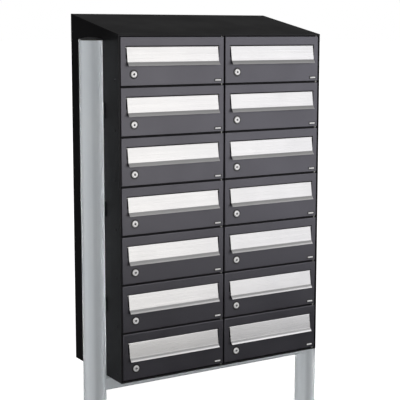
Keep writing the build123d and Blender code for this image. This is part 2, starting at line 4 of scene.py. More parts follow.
import bmesh
import bpy
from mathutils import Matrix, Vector


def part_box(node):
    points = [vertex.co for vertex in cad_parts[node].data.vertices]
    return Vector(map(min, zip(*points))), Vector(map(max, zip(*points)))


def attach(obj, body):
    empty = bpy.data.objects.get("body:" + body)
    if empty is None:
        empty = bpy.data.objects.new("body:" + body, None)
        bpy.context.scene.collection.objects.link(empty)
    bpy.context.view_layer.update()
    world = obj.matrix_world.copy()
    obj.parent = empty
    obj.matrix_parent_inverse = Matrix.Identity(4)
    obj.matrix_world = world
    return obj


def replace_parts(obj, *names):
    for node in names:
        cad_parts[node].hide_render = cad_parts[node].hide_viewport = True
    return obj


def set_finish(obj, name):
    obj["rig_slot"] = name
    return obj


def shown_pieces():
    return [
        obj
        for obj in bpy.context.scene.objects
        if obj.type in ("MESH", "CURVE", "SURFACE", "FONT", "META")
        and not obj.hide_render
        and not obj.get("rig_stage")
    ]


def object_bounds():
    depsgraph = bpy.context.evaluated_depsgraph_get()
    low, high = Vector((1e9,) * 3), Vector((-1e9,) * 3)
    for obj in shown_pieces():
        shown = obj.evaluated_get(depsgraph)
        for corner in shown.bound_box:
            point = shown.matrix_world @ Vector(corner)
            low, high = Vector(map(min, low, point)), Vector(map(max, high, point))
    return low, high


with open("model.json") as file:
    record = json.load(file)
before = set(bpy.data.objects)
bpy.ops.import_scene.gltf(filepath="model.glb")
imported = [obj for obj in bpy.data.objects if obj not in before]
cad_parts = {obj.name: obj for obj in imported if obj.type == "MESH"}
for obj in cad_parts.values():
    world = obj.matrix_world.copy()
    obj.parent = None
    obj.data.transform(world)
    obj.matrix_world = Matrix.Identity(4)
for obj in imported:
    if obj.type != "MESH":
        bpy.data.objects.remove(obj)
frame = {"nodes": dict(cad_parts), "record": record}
cad_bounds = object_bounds()

# Everything is in metres, in the row's frame: X right, Y to the back, Z up, origin on the ground.
MM = 0.001
COLUMNS = ("left", "right")
ROWS = range(1, 8)

# Driving places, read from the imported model
SAMPLE_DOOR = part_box("door_left_1")
DOOR_W = SAMPLE_DOOR[1].x - SAMPLE_DOOR[0].x
DOOR_H = SAMPLE_DOOR[1].z - SAMPLE_DOOR[0].z
FACE_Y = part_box("left_side_panel")[0].y
FLAP_LO, FLAP_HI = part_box("flap_left_1")
LOCK_LO, LOCK_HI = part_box("lock_left_1")

# Door, in its own frame: x from its middle, z from its top edge
SHEET = 1.5 * MM
DOOR_D = 15.0 * MM
BEND_R = 2.5 * MM
SLOT_W = 348.0 * MM
SLOT_H = 40.0 * MM
SLOT_TOP = -28.5 * MM
PIVOT_INSET = 6.0 * MM
PIVOT_HOLE_R = 2.05 * MM
ROD_Y = FACE_Y + 5.0 * MM
ROD_R = 2.0 * MM
ROD_L = SLOT_W + 8.0 * MM
LUG_H = 13.5 * MM
LUG_D = 10.5 * MM
BUFFER_R = 4.0 * MM
BUFFER_H = 1.6 * MM
BUFFER_X = 150.0 * MM
BUFFER_Z = -75.0 * MM
BADGE_W = 29.0 * MM
BADGE_H = 10.0 * MM
BADGE_T = 0.8 * MM
BADGE_X = DOOR_W / 2 - 22.5 * MM
BADGE_Z = -DOOR_H + 12.5 * MM
INLAY_W = 22.0 * MM
INLAY_H = 5.0 * MM

# Flap
FLAP_W = FLAP_HI.x - FLAP_LO.x
FLAP_SHEET = 1.2 * MM
KNUCKLE_R = 3.5 * MM
ROD_Z = FLAP_HI.z - SAMPLE_DOOR[1].z - KNUCKLE_R
KNEE = (FACE_Y - 5.0 * MM, -80.0 * MM)
LIP_MIDDLE = (FACE_Y - 10.8 * MM, -86.5 * MM)
LIP_EDGE = (FACE_Y - 14.0 * MM, -92.0 * MM)

# Lock
LOCK_X = (LOCK_LO.x + LOCK_HI.x) / 2 - (SAMPLE_DOOR[0].x + SAMPLE_DOOR[1].x) / 2
PLUG_FLANGE_R = 8.0 * MM
LOCK_Z = LOCK_HI.z - PLUG_FLANGE_R - SAMPLE_DOOR[1].z
# Black ring behind the lock head, wide enough to paint the dark shadow that falls round the head
SHADOW_RING_R = 15.0 * MM
SHADOW_RING_T = 0.8 * MM
HEAD_R = 10.5 * MM
HEAD_H = 3.8 * MM
BARREL_R = 8.0 * MM
BARREL_L = 20.0 * MM
PLUG_R = 5.8 * MM
BORE_R = 5.85 * MM
RECESS_R = 8.1 * MM
# Black disc in the plug's face: painted shade that darkens the middle of the lock round the keyhole
SHADE_DISC_R = 3.8 * MM
SHADE_DISC_H = 0.8 * MM
SHADE_DISC_WELL = 1.1 * MM
CAM_GAP = 0.3 * MM
CAM_T = 2.0 * MM
CAM_W = 10.0 * MM
CAM_L = 34.0 * MM
RECESS_D = 1.4 * MM
PLUG_SETBACK = 0.1 * MM
PLUG_FLANGE_H = 1.2 * MM
SCREW_R = 5.0 * MM
SCREW_H = 3.0 * MM
NUT_AF = 22.0 * MM
NUT_H = 4.0 * MM

# Posts
POST_R = (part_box("left_post")[1].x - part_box("left_post")[0].x) / 2
POST_WALL = 3.0 * MM
CAP_RIM_H = 4.0 * MM
CAP_DOME_H = 6.0 * MM
CAP_PLUG_H = 15.0 * MM

# Camera, at the picture's viewpoint
CAMERA_POS = (-1.978, FACE_Y - 3.088, 1.752)
CAMERA_YAW = math.radians(31.36)
CAMERA_PITCH = math.radians(7.46)
CAMERA_LENS = 98.88
CAMERA_SHIFT_Y = -0.06


# ------------------------------------------------------------ node helpers

class Nodes:
    """A short way to build one material's node tree."""

    def __init__(self, name):
        self.material = bpy.data.materials.new(name)
        self.material.use_nodes = True
        self.tree = self.material.node_tree
        self.shader = self.tree.nodes["Principled BSDF"]

    def add(self, kind, inputs=None, **settings):
        node = self.tree.nodes.new(kind)
        for key, value in settings.items():
            setattr(node, key, value)
        for key, value in (inputs or {}).items():
            if isinstance(value, bpy.types.NodeSocket):
                self.tree.links.new(value, node.inputs[key])
            else:
                node.inputs[key].default_value = value
        return node

    def set(self, **values):
        for key, value in values.items():
            socket = self.shader.inputs[key.replace("_", " ")]
            if isinstance(value, bpy.types.NodeSocket):
                self.tree.links.new(value, socket)
            else:
                socket.default_value = value

    def place(self, stretch=(1, 1, 1)):
        """Object coordinates, moved by a different amount on each object, then stretched."""
        coordinates = self.add("ShaderNodeTexCoord")
        chance = self.add("ShaderNodeObjectInfo")
        shift = self.add("ShaderNodeMath", {0: chance.outputs["Random"], 1: 9.0}, operation="MULTIPLY")
        moved = self.add(
            "ShaderNodeVectorMath", {0: coordinates.outputs["Object"], 1: shift.outputs[0]}, operation="ADD"
        )
        mapping = self.add("ShaderNodeMapping", {"Vector": moved.outputs[0], "Scale": stretch})
        return mapping.outputs[0]

    def noise(self, vector, scale, detail=3.0, roughness=0.5):
        node = self.add(
            "ShaderNodeTexNoise", {"Vector": vector, "Scale": scale, "Detail": detail, "Roughness": roughness}
        )
        return node.outputs["Fac"]

    def span(self, value, low, high, from_low=0.3, from_high=0.7):
        node = self.add(
            "ShaderNodeMapRange",
            {"Value": value, "From Min": from_low, "From Max": from_high, "To Min": low, "To Max": high},
        )
        return node.outputs[0]

    def mix(self, factor, first, second):
        node = self.add("ShaderNodeMix", data_type="RGBA")
        for index, value in ((0, factor), (6, first), (7, second)):
            if isinstance(value, bpy.types.NodeSocket):
                self.tree.links.new(value, node.inputs[index])
            else:
                node.inputs[index].default_value = value
        return node.outputs[2]

    def bump(self, height, strength, distance, normal=None):
        inputs = {"Height": height, "Strength": strength, "Distance": distance}
        if normal is not None:
            inputs["Normal"] = normal
        return self.add("ShaderNodeBump", inputs).outputs[0]

    def edges(self, radius):
        """1 on edges and 0 on flats, with the softened normal that gave it."""
        soft = self.add("ShaderNodeBevel", {"Radius": radius}, samples=6)
        flat = self.add("ShaderNodeNewGeometry")
        dot = self.add(
            "ShaderNodeVectorMath", {0: soft.outputs[0], 1: flat.outputs["Normal"]}, operation="DOT_PRODUCT"
        )
        mask = self.span(dot.outputs["Value"], 1.0, 0.0, 0.80, 0.995)
        return mask, soft.outputs[0]


def colour(r, g, b):
    return (r, g, b, 1.0)


# --------------------------------------------------------------- materials

def powder_coat(name, base, worn, grain, roughness, gloss, sheen_tint):
    """Powder coat: fine orange-peel grain, uneven gloss, edges rubbed a little lighter."""
    m = Nodes(name)
    at = m.place()
    fine = m.noise(at, grain, 2.0)
    broad = m.noise(at, 7.0, 4.0)
    specks = m.noise(at, 420.0, 1.0)
    edge, soft_normal = m.edges(0.9 * MM)
    patches = m.span(m.noise(at, 60.0, 4.0), 0.15, 1.0)
    rubbed = m.add("ShaderNodeMath", {0: edge, 1: patches}, operation="MULTIPLY").outputs[0]
    speckled = m.mix(m.span(specks, 0.0, 1.0), base, [c * 1.35 for c in base[:3]] + [1.0])
    m.set(
        Base_Color=m.mix(rubbed, speckled, worn),
        Roughness=m.span(broad, roughness - 0.04, roughness + 0.05),
        Specular_IOR_Level=gloss,
        Specular_Tint=sheen_tint,
        Normal=m.bump(fine, 0.30, 0.12 * MM, soft_normal),
    )
    return m.material


def brushed_stainless():
    """Stainless sheet with its grain along X."""
    m = Nodes("flap_stainless")
    grain_at = m.place((2.5, 900.0, 900.0))
    grain = m.noise(grain_at, 1.0, 4.0, 0.65)
    cloud = m.noise(m.place(), 9.0, 3.0)
    edge, soft_normal = m.edges(0.4 * MM)
    tangent = m.add("ShaderNodeTangent", direction_type="UV_MAP")
    tint = m.mix(m.span(cloud, 0.0, 1.0), colour(0.465, 0.46, 0.462), colour(0.50, 0.495, 0.495))
    streaked = m.mix(m.span(grain, 0.0, 0.35), tint, colour(0.39, 0.39, 0.39))
    m.set(
        Base_Color=m.mix(edge, streaked, colour(0.80, 0.80, 0.79)),
        Metallic=1.0,
        Roughness=m.span(grain, 0.24, 0.38),
        Anisotropic=0.55,
        Tangent=tangent.outputs[0],
        Normal=m.bump(grain, 0.10, 0.05 * MM, soft_normal),
    )
    return m.material


def satin_metal(name, base, metallic, low, high, scale=220.0, depth=0.04):
    """Plated metal with a satin bloom and faint handling marks."""
    m = Nodes(name)
    at = m.place()
    marks = m.noise(at, scale, 4.0, 0.6)
    cloud = m.noise(at, 25.0, 3.0)
    soft_normal = m.edges(0.3 * MM)[1]
    dull = [c * 0.82 for c in base[:3]] + [1.0]
    m.set(
        Base_Color=m.mix(m.span(cloud, 0.0, 1.0), base, dull),
        Metallic=metallic,
        Roughness=m.span(marks, low, high),
        Normal=m.bump(marks, 0.12, depth * MM, soft_normal),
    )
    return m.material


def anodised_aluminium():
    """Extruded tube, anodised: long faint drawing lines along it and a soft bloom."""
    m = Nodes("post_aluminium")
    lines = m.noise(m.place((160.0, 160.0, 1.0)), 1.0, 3.0, 0.6)
    bloom = m.noise(m.place(), 5.0, 4.0)
    grain = m.noise(m.place(), 1400.0, 1.0)
    edge, soft_normal = m.edges(0.5 * MM)
    base = m.mix(m.span(bloom, 0.0, 1.0), colour(0.62, 0.655, 0.685), colour(0.66, 0.69, 0.71))
    lined = m.mix(m.span(lines, 0.0, 0.12), base, colour(0.50, 0.53, 0.57))
    m.set(
        Base_Color=m.mix(edge, lined, colour(0.75, 0.77, 0.79)),
        Metallic=0.7,
        Roughness=m.span(lines, 0.40, 0.47),
        Normal=m.bump(grain, 0.08, 0.04 * MM, m.bump(lines, 0.02, 0.05 * MM, soft_normal)),
    )
    return m.material


def moulded_plastic(name, base, low, high, grain, depth):
    m = Nodes(name)
    at = m.place()
    texture = m.noise(at, grain, 2.0)
    cloud = m.noise(at, 14.0, 3.0)
    soft_normal = m.edges(0.4 * MM)[1]
    m.set(
        Base_Color=m.mix(m.span(cloud, 0.0, 1.0), base, [c * 1.25 for c in base[:3]] + [1.0]),
        Roughness=m.span(cloud, low, high),
        Normal=m.bump(texture, 0.25, depth * MM, soft_normal),
    )
    return m.material


def make_materials():
    return {
        "cabinet_powder_coat": powder_coat(
            "cabinet_powder_coat", colour(0.0035, 0.0034, 0.0037), colour(0.03, 0.03, 0.032),
            950.0, 0.50, 0.28, colour(0.96, 0.95, 1.0),
        ),
        "door_powder_coat": powder_coat(
            "door_powder_coat", colour(0.016, 0.0153, 0.0185), colour(0.07, 0.07, 0.075),
            1300.0, 0.38, 1.0, colour(0.91, 0.89, 1.0),
        ),
        "flap_stainless": brushed_stainless(),
        "lock_nickel": satin_metal("lock_nickel", colour(0.93, 0.92, 0.92), 0.35, 0.34, 0.46),
        "zinc_plated_steel": satin_metal("zinc_plated_steel", colour(0.62, 0.62, 0.58), 0.9, 0.30, 0.45),
        "post_aluminium": anodised_aluminium(),
        "cap_plastic": moulded_plastic("cap_plastic", colour(0.010, 0.010, 0.011), 0.38, 0.5, 900.0, 0.1),
        "rubber_pad": moulded_plastic("rubber_pad", colour(0.012, 0.012, 0.012), 0.75, 0.3, 500.0, 0.15),
        "badge_white": moulded_plastic("badge_white", colour(0.62, 0.62, 0.62), 0.3, 0.4, 700.0, 0.03),
    }


# ------------------------------------------------------------ mesh helpers

def finished(name, bm, bevel=0.0, segments=2, angle=35.0, cutters=(), joined=()):
    """Turn a bmesh into a mesh: add and cut solids, bevel the sharp edges, smooth the rest."""
    bmesh.ops.recalc_face_normals(bm, faces=bm.faces)
    raw = bpy.data.meshes.new(name + "_raw")
    bm.to_mesh(raw)
    bm.free()
    work = bpy.data.objects.new(name + "_work", raw)
    bpy.context.scene.collection.objects.link(work)
    helpers = []
    for kind, meshes in (("UNION", joined), ("DIFFERENCE", cutters)):
        for mesh in meshes:
            helper = bpy.data.objects.new(name + "_helper", mesh)
            bpy.context.scene.collection.objects.link(helper)
            helpers.append(helper)
            boolean = work.modifiers.new("boolean", "BOOLEAN")
            boolean.operation = kind
            boolean.solver = "EXACT"
            boolean.object = helper
    if bevel:
        rounding = work.modifiers.new("bevel", "BEVEL")
        rounding.width = bevel
        rounding.segments = segments
        rounding.limit_method = "ANGLE"
        rounding.angle_limit = math.radians(angle)
        rounding.use_clamp_overlap = True
    shaped = evaluated(work, name)
    shaped.shade_smooth()
    shaped.set_sharp_from_angle(angle=math.radians(angle))
    work.modifiers.clear()
    work.data = shaped
    weighting = work.modifiers.new("weighting", "WEIGHTED_NORMAL")
    weighting.mode = "FACE_AREA"
    weighting.weight = 100
    weighting.keep_sharp = True
    mesh = evaluated(work, name)
    for extra in [work] + helpers:
        bpy.data.objects.remove(extra)
    return mesh


def evaluated(source, name):
    """The mesh that an object's modifiers give."""
    graph = bpy.context.evaluated_depsgraph_get()
    graph.update()
    mesh = bpy.data.meshes.new_from_object(source.evaluated_get(graph), depsgraph=graph)
    mesh.name = name
    return mesh


def box_bm(lo, hi):
    bm = bmesh.new()
    bmesh.ops.create_cube(bm, size=1.0)
    middle = [(a + b) / 2 for a, b in zip(lo, hi)]
    size = [abs(b - a) for a, b in zip(lo, hi)]
    bmesh.ops.scale(bm, vec=size, verts=bm.verts)
    bmesh.ops.translate(bm, vec=middle, verts=bm.verts)
    return bm


def as_cutter(bm):
    bmesh.ops.recalc_face_normals(bm, faces=bm.faces)
    mesh = bpy.data.meshes.new("cutter")
    bm.to_mesh(mesh)
    bm.free()
    return mesh


def lathe_bm(profile, segments=64, axis="Z", ring=False):
    """Turn (radius, height) points about an axis. A ring profile is a closed loop off the axis."""
    bm = bmesh.new()
    columns = []
    for index in range(segments):
        turn = 2 * math.pi * index / segments
        column = []
        for radius, height in profile:
            if axis == "Z":
                point = (radius * math.cos(turn), radius * math.sin(turn), height)
            elif axis == "Y":
                point = (radius * math.cos(turn), height, radius * math.sin(turn))
            else:
                point = (height, radius * math.cos(turn), radius * math.sin(turn))
            column.append(bm.verts.new(point))
        columns.append(column)
    count = len(profile)
    steps = count if ring else count - 1
    for index in range(segments):
        here, there = columns[index], columns[(index + 1) % segments]
        for step in range(steps):
            after = (step + 1) % count
            bm.faces.new((here[step], there[step], there[after], here[after]))
    bmesh.ops.remove_doubles(bm, verts=bm.verts, dist=1e-7)
    return bm


def drum_bm(radius, low, high, segments=48, axis="Z", centre=(0, 0, 0)):
    bm = lathe_bm([(0, low), (radius, low), (radius, high), (0, high)], segments, axis)
    bmesh.ops.translate(bm, vec=centre, verts=bm.verts)
    return bm


def prism_bm(outline, low, high):
    """Push a closed outline in X and Z along Y."""
    bm = bmesh.new()
    front = [bm.verts.new((x, low, z)) for x, z in outline]
    back = [bm.verts.new((x, high, z)) for x, z in outline]
    bm.faces.new(front)
    bm.faces.new(back)
    for index in range(len(outline)):
        after = (index + 1) % len(outline)
        bm.faces.new((front[index], front[after], back[after], back[index]))
    return bm


def arc(centre, radius, start, end, steps):
    """Points on an arc, angles in degrees."""
    points = []
    for index in range(steps + 1):
        turn = math.radians(start + (end - start) * index / steps)
        points.append((centre[0] + radius * math.cos(turn), centre[1] + radius * math.sin(turn)))
    return points


def rounded_path(points, radius, steps=5):
    """Replace each inner corner of a path by a tangent arc."""
    path = [points[0]]
    for before, corner, after in zip(points, points[1:], points[2:]):
        back = (Vector(before) - Vector(corner)).normalized()
        ahead = (Vector(after) - Vector(corner)).normalized()
        half = back.angle(ahead) / 2
        reach = radius / math.tan(half)
        centre = Vector(corner) + (back + ahead).normalized() * (radius / math.sin(half))
        first = Vector(corner) + back * reach - centre
        last = Vector(corner) + ahead * reach - centre
        for index in range(steps + 1):
            share = index / steps
            spoke = (first * (1 - share) + last * share).normalized() * radius
            path.append(tuple(centre + spoke))
    path.append(points[-1])
    return path


def thickened(path, thickness):
    """Outline of a strip of sheet whose middle line is the path."""
    left, right = [], []
    for index, point in enumerate(path):
        before = Vector(path[max(index - 1, 0)])
        after = Vector(path[min(index + 1, len(path) - 1)])
        along = (after - before).normalized()
        normal = Vector((-along.y, along.x)) * thickness / 2
        left.append(tuple(Vector(point) + normal))
        right.append(tuple(Vector(point) - normal))
    return left + right[::-1]


# --------------------------------------------------------- pieces of a door

def door_leaf_mesh():
    """Folded pan with rounded bends, the slot, the lock hole, pivot holes and rod lugs."""
    bm = box_bm((-DOOR_W / 2, FACE_Y, -DOOR_H), (DOOR_W / 2, FACE_Y + DOOR_D, 0))
    back = [f for f in bm.faces if f.calc_center_median().y > FACE_Y + DOOR_D - MM]
    bmesh.ops.delete(bm, geom=back, context="FACES_ONLY")
    rim = [e for e in bm.edges if all(v.co.y < FACE_Y + MM for v in e.verts)]
    bmesh.ops.bevel(bm, geom=rim, offset=BEND_R, segments=5, profile=0.5, affect="EDGES")
    bmesh.ops.recalc_face_normals(bm, faces=bm.faces)
    if sum(f.normal.y for f in bm.faces) > 0:
        bmesh.ops.reverse_faces(bm, faces=bm.faces)
    bmesh.ops.solidify(bm, geom=bm.faces, thickness=SHEET)
    lugs = []
    for side in (-1, 1):
        inner = side * SLOT_W / 2
        outer = side * (SLOT_W / 2 + SHEET)
        lug = box_bm(
            (min(inner, outer), FACE_Y + SHEET * 0.8, SLOT_TOP - LUG_H),
            (max(inner, outer), FACE_Y + SHEET + LUG_D, SLOT_TOP),
        )
        lugs.append(as_cutter(lug))
    slot = box_bm(
        (-SLOT_W / 2, FACE_Y - 2 * SHEET, SLOT_TOP - SLOT_H),
        (SLOT_W / 2, FACE_Y + 1.01 * SHEET, SLOT_TOP),
    )
    lock_hole = drum_bm(BARREL_R, -4 * SHEET, 4 * SHEET, 64, "Y", (LOCK_X, FACE_Y, LOCK_Z))
    pivot_at = (DOOR_W / 2 - PIVOT_INSET, FACE_Y + PIVOT_INSET, 0)
    pivot = drum_bm(PIVOT_HOLE_R, -2 * DOOR_H, DOOR_H, 24, "Z", pivot_at)
    cutters = [as_cutter(slot), as_cutter(lock_hole), as_cutter(pivot)]
    return finished("door_leaf", bm, 0.3 * MM, 2, 40.0, cutters, lugs)


def flap_mesh():
    """Sheet curled over the rod, leaning outward, with a lip flared in two steps."""
    curl_r = KNUCKLE_R - FLAP_SHEET / 2
    curl = arc((ROD_Y, ROD_Z), curl_r, -60.0, 180.0, 22)
    shift = FLAP_SHEET / 2
    bends = rounded_path(
        [
            curl[-1],
            (KNEE[0] + shift, KNEE[1]),
            (LIP_MIDDLE[0] + shift, LIP_MIDDLE[1] - shift / 2),
            (LIP_EDGE[0] + shift, LIP_EDGE[1] + shift / 2),
        ],
        2.2 * MM,
    )
    section = thickened(curl[:-1] + bends, FLAP_SHEET)
    bm = bmesh.new()
    uv = bm.loops.layers.uv.new("UVMap")
    half = FLAP_W / 2
    stations = [-half, -half / 3, half / 3, half]
    rows = [[bm.verts.new((x, y, z)) for y, z in section] for x in stations]
    length = len(section)
    for here, there in zip(rows, rows[1:]):
        for index in range(length):
            after = (index + 1) % length
            bm.faces.new((here[index], here[after], there[after], there[index]))
    bm.faces.new(rows[0])
    bm.faces.new(rows[-1][::-1])
    for face in bm.faces:
        for loop in face.loops:
            loop[uv].uv = (loop.vert.co.x, loop.vert.co.z + loop.vert.co.y)
    return finished("flap", bm, 0.3 * MM, 2, 50.0)


# Black ring behind the lock head: painted shadow round the head, its width set to give that dark band
def lock_shadow_ring_mesh():
    edge = 0.25 * MM
    profile = [
        (BARREL_R, 0),
        (SHADOW_RING_R, 0),
        (SHADOW_RING_R, SHADOW_RING_T - edge),
        (SHADOW_RING_R - edge, SHADOW_RING_T),
        (BARREL_R, SHADOW_RING_T),
    ]
    bm = lathe_bm([(r, -h) for r, h in profile], 56, "Y", ring=True)
    bmesh.ops.translate(bm, vec=(LOCK_X, FACE_Y, LOCK_Z), verts=bm.verts)
    return finished("lock_gasket", bm)


def lock_housing_mesh():
    """Turned head with a crowned ring, recess for the plug, and a threaded barrel."""
    pitch = 1.0 * MM
    depth = 0.45 * MM
    crown = 0.35 * MM
    rim = 1.1 * MM
    ring_in = RECESS_R + 0.2 * MM
    ring_out = HEAD_R - rim
    profile = [
        (BORE_R, HEAD_H - RECESS_D),
        (RECESS_R, HEAD_H - RECESS_D),
        (RECESS_R, HEAD_H - crown),
    ]
    steps = 6
    for index in range(steps + 1):
        share = index / steps
        profile.append((ring_in + (ring_out - ring_in) * share, HEAD_H - crown * (2 * share - 0.6) ** 2 / 2))
    profile += arc((HEAD_R - rim, HEAD_H - rim - crown), rim, 70, 0, 5)
    profile += [(HEAD_R, SHADOW_RING_T), (BARREL_R, SHADOW_RING_T)]
    turns = 12
    start = -6.0 * MM
    for index in range(turns):
        profile.append((BARREL_R, start - index * pitch))
        profile.append((BARREL_R - depth, start - (index + 0.5) * pitch))
    profile += [
        (BARREL_R, start - turns * pitch),
        (BARREL_R, -BARREL_L + 0.4 * MM),
        (BARREL_R - 0.4 * MM, -BARREL_L),
        (BORE_R, -BARREL_L),
    ]
    bm = lathe_bm([(r, -h) for r, h in profile], 56, "Y", ring=True)
    bmesh.ops.translate(bm, vec=(LOCK_X, FACE_Y, LOCK_Z), verts=bm.verts)
    return finished("lock_housing", bm, 0.0, angle=32.0)


def lock_nut_mesh():
    outline = []
    for index in range(6):
        turn = math.radians(60 * index)
        corner = NUT_AF / 2 / math.cos(math.radians(30))
        outline.append((LOCK_X + corner * math.cos(turn), LOCK_Z + corner * math.sin(turn)))
    low = FACE_Y + SHEET
    bm = prism_bm(outline, low, low + NUT_H)
    bore = drum_bm(BARREL_R, -MM, NUT_H + MM, 48, "Y", (LOCK_X, low, LOCK_Z))
    return finished("lock_nut", bm, 0.35 * MM, 2, 25.0, [as_cutter(bore)])


def keyway_cutters():
    """Slot for the key, with a step to one side."""
    mouth = FACE_Y - HEAD_H - MM
    depth = FACE_Y + 3.0 * MM
    cutters = []
    for x_low, x_high, z_low, z_high in ((-0.9, 0.9, -3.5, 3.5), (-2.0, 0.0, 0.6, 2.2)):
        cut = box_bm(
            (LOCK_X + x_low * MM, mouth, LOCK_Z + z_low * MM),
            (LOCK_X + x_high * MM, depth, LOCK_Z + z_high * MM),
        )
        cutters.append(as_cutter(cut))
    return cutters


def lock_plug_mesh():
    """Turned plug with a well in its face for the black disc that paints the keyhole's shade."""
    front = HEAD_H - PLUG_SETBACK
    profile = [
        (0.0, front - SHADE_DISC_WELL),
        (SHADE_DISC_R + 0.1 * MM, front - SHADE_DISC_WELL),
        (SHADE_DISC_R + 0.1 * MM, front - 0.35 * MM),
        (SHADE_DISC_R + 0.45 * MM, front),
        (PLUG_FLANGE_R - 0.5 * MM, front),
        (PLUG_FLANGE_R - 0.12 * MM, front - 0.15 * MM),
        (PLUG_FLANGE_R, front - 0.5 * MM),
        (PLUG_FLANGE_R, front - PLUG_FLANGE_H),
        (PLUG_R, front - PLUG_FLANGE_H),
        (PLUG_R, -BARREL_L - CAM_GAP),
        (0.0, -BARREL_L - CAM_GAP),
    ]
    bm = lathe_bm([(r, -h) for r, h in profile], 56, "Y")
    bmesh.ops.translate(bm, vec=(LOCK_X, FACE_Y, LOCK_Z), verts=bm.verts)
    return finished("lock_plug", bm, 0.0, angle=32.0, cutters=keyway_cutters())


def keyhole_shade_disc_mesh():
    """Black disc round the key's slot, lying in the plug's well: painted shade that darkens the middle of the
    lock face.
    """
    well = HEAD_H - PLUG_SETBACK - SHADE_DISC_WELL
    top = well + SHADE_DISC_H
    profile = [
        (0.0, well + 0.02 * MM),
        (SHADE_DISC_R, well + 0.02 * MM),
        (SHADE_DISC_R, top - 0.15 * MM),
        (SHADE_DISC_R - 0.15 * MM, top),
        (SHADE_DISC_R - 0.8 * MM, top),
        (SHADE_DISC_R - 1.0 * MM, top - 0.15 * MM),
        (0.0, top - 0.15 * MM),
    ]
    bm = lathe_bm([(r, -h) for r, h in profile], 48, "Y")
    bmesh.ops.translate(bm, vec=(LOCK_X, FACE_Y, LOCK_Z), verts=bm.verts)
    return finished("key_shutter", bm, 0.0, angle=32.0, cutters=keyway_cutters())


def lock_cam_mesh():
    straight = CAM_L - CAM_W / 2
    shoulder = math.degrees(math.acos(CAM_W / 2 / PLUG_R))
    outline = arc((LOCK_X, LOCK_Z), PLUG_R, -shoulder, 180.0 + shoulder, 24)
    outline += arc((LOCK_X, LOCK_Z - straight), CAM_W / 2, 180.0, 360.0, 16)
    low = FACE_Y + BARREL_L + CAM_GAP
    bm = prism_bm(outline, low, low + CAM_T)
    return finished("lock_cam", bm, 0.3 * MM, 2, 40.0)


def lock_screw_mesh():
    low = BARREL_L + CAM_GAP + CAM_T
    high = low + SCREW_H
    profile = [
        (0.0, low),
        (SCREW_R, low),
        (SCREW_R, high - 1.3 * MM),
        (SCREW_R - 0.5 * MM, high - 0.5 * MM),
        (SCREW_R - 1.6 * MM, high),
        (0.0, high),
    ]
    bm = lathe_bm(profile, 40, "Y")
    bmesh.ops.translate(bm, vec=(LOCK_X, FACE_Y, LOCK_Z), verts=bm.verts)
    top = FACE_Y + high
    cross = []
    for half_x, half_z in ((2.6, 0.6), (0.6, 2.6)):
        cut = box_bm(
            (LOCK_X - half_x * MM, top - 1.6 * MM, LOCK_Z - half_z * MM),
            (LOCK_X + half_x * MM, top + MM, LOCK_Z + half_z * MM),
        )
        cross.append(as_cutter(cut))
    return finished("lock_screw", bm, 0.0, angle=32.0, cutters=cross)


def rod_mesh():
    half = ROD_L / 2
    edge = 0.5 * MM
    profile = [
        (0, -half),
        (ROD_R - edge, -half),
        (ROD_R, edge - half),
        (ROD_R, half - edge),
        (ROD_R - edge, half),
        (0, half),
    ]
    bm = lathe_bm(profile, 32, "X")
    bmesh.ops.translate(bm, vec=(0, ROD_Y, ROD_Z), verts=bm.verts)
    return finished("flap_rod", bm)


def buffer_mesh(side):
    rounding = 1.0 * MM
    profile = [(0, 0), (BUFFER_R, 0)]
    profile += arc((BUFFER_R - rounding, BUFFER_H - rounding), rounding, 0, 90, 6)
    profile += [(0, BUFFER_H)]
    bm = lathe_bm([(r, -h) for r, h in profile], 32, "Y")
    bmesh.ops.translate(bm, vec=(side * BUFFER_X, FACE_Y, BUFFER_Z), verts=bm.verts)
    return finished("flap_buffer", bm)


def plate_bm(width, height, corner, low, high):
    """Plate with rounded corners on the badge's place, between two depths."""
    outline = []
    for x, z, start in ((1, 1, 0), (-1, 1, 90), (-1, -1, 180), (1, -1, 270)):
        centre = (BADGE_X + x * (width / 2 - corner), BADGE_Z + z * (height / 2 - corner))
        outline += arc(centre, corner, start, start + 90, 6)
    return prism_bm(outline, low, high)


def badge_mesh():
    """Blank plate, dished inside a narrow rim."""
    rim = 1.0 * MM
    dish = 0.3 * MM
    corner = 1.5 * MM
    face = FACE_Y - BADGE_T
    inside = plate_bm(BADGE_W - 2 * rim, BADGE_H - 2 * rim, corner - 0.5 * MM, face - MM, face + dish)
    bm = plate_bm(BADGE_W, BADGE_H, corner, face, FACE_Y)
    return finished("blank_badge", bm, 0.15 * MM, 2, 50.0, [as_cutter(inside)])


def inlay_mesh():
    """Blank white bar lying in the badge's dish."""
    bm = plate_bm(INLAY_W, INLAY_H, 1.2 * MM, FACE_Y - BADGE_T + 0.05 * MM, FACE_Y - BADGE_T + 0.3 * MM)
    return finished("badge_inlay", bm, 0.08 * MM, 2, 50.0)


# ------------------------------------------------------------ stand pieces

def post_mesh(low, high):
    inner = POST_R - POST_WALL
    edge = 0.5 * MM
    profile = [
        (inner, low),
        (POST_R, low),
        (POST_R, high - edge),
        (POST_R - edge, high),
        (inner, high),
    ]
    return finished("post", lathe_bm(profile, 128, "Z", ring=True))


def cap_mesh(low):
    """Domed cover with a rolled rim and a plug inside the tube."""
    rim = 1.2 * MM
    plug_r = POST_R - POST_WALL
    dome_r = (POST_R**2 + CAP_DOME_H**2) / (2 * CAP_DOME_H)
    profile = [(0, low - CAP_PLUG_H), (plug_r, low - CAP_PLUG_H), (plug_r, low), (POST_R, low)]
    profile += arc((POST_R - rim, low + CAP_RIM_H - rim), rim, 0, 75, 6)
    steps = 14
    for index in range(steps + 1):
        radius = (POST_R - rim) * (1 - index / steps)
        fall = dome_r - math.sqrt(dome_r**2 - radius**2)
        profile.append((radius, low + CAP_RIM_H + CAP_DOME_H - fall))
    return finished("post_cap", lathe_bm(profile, 96, "Z"))


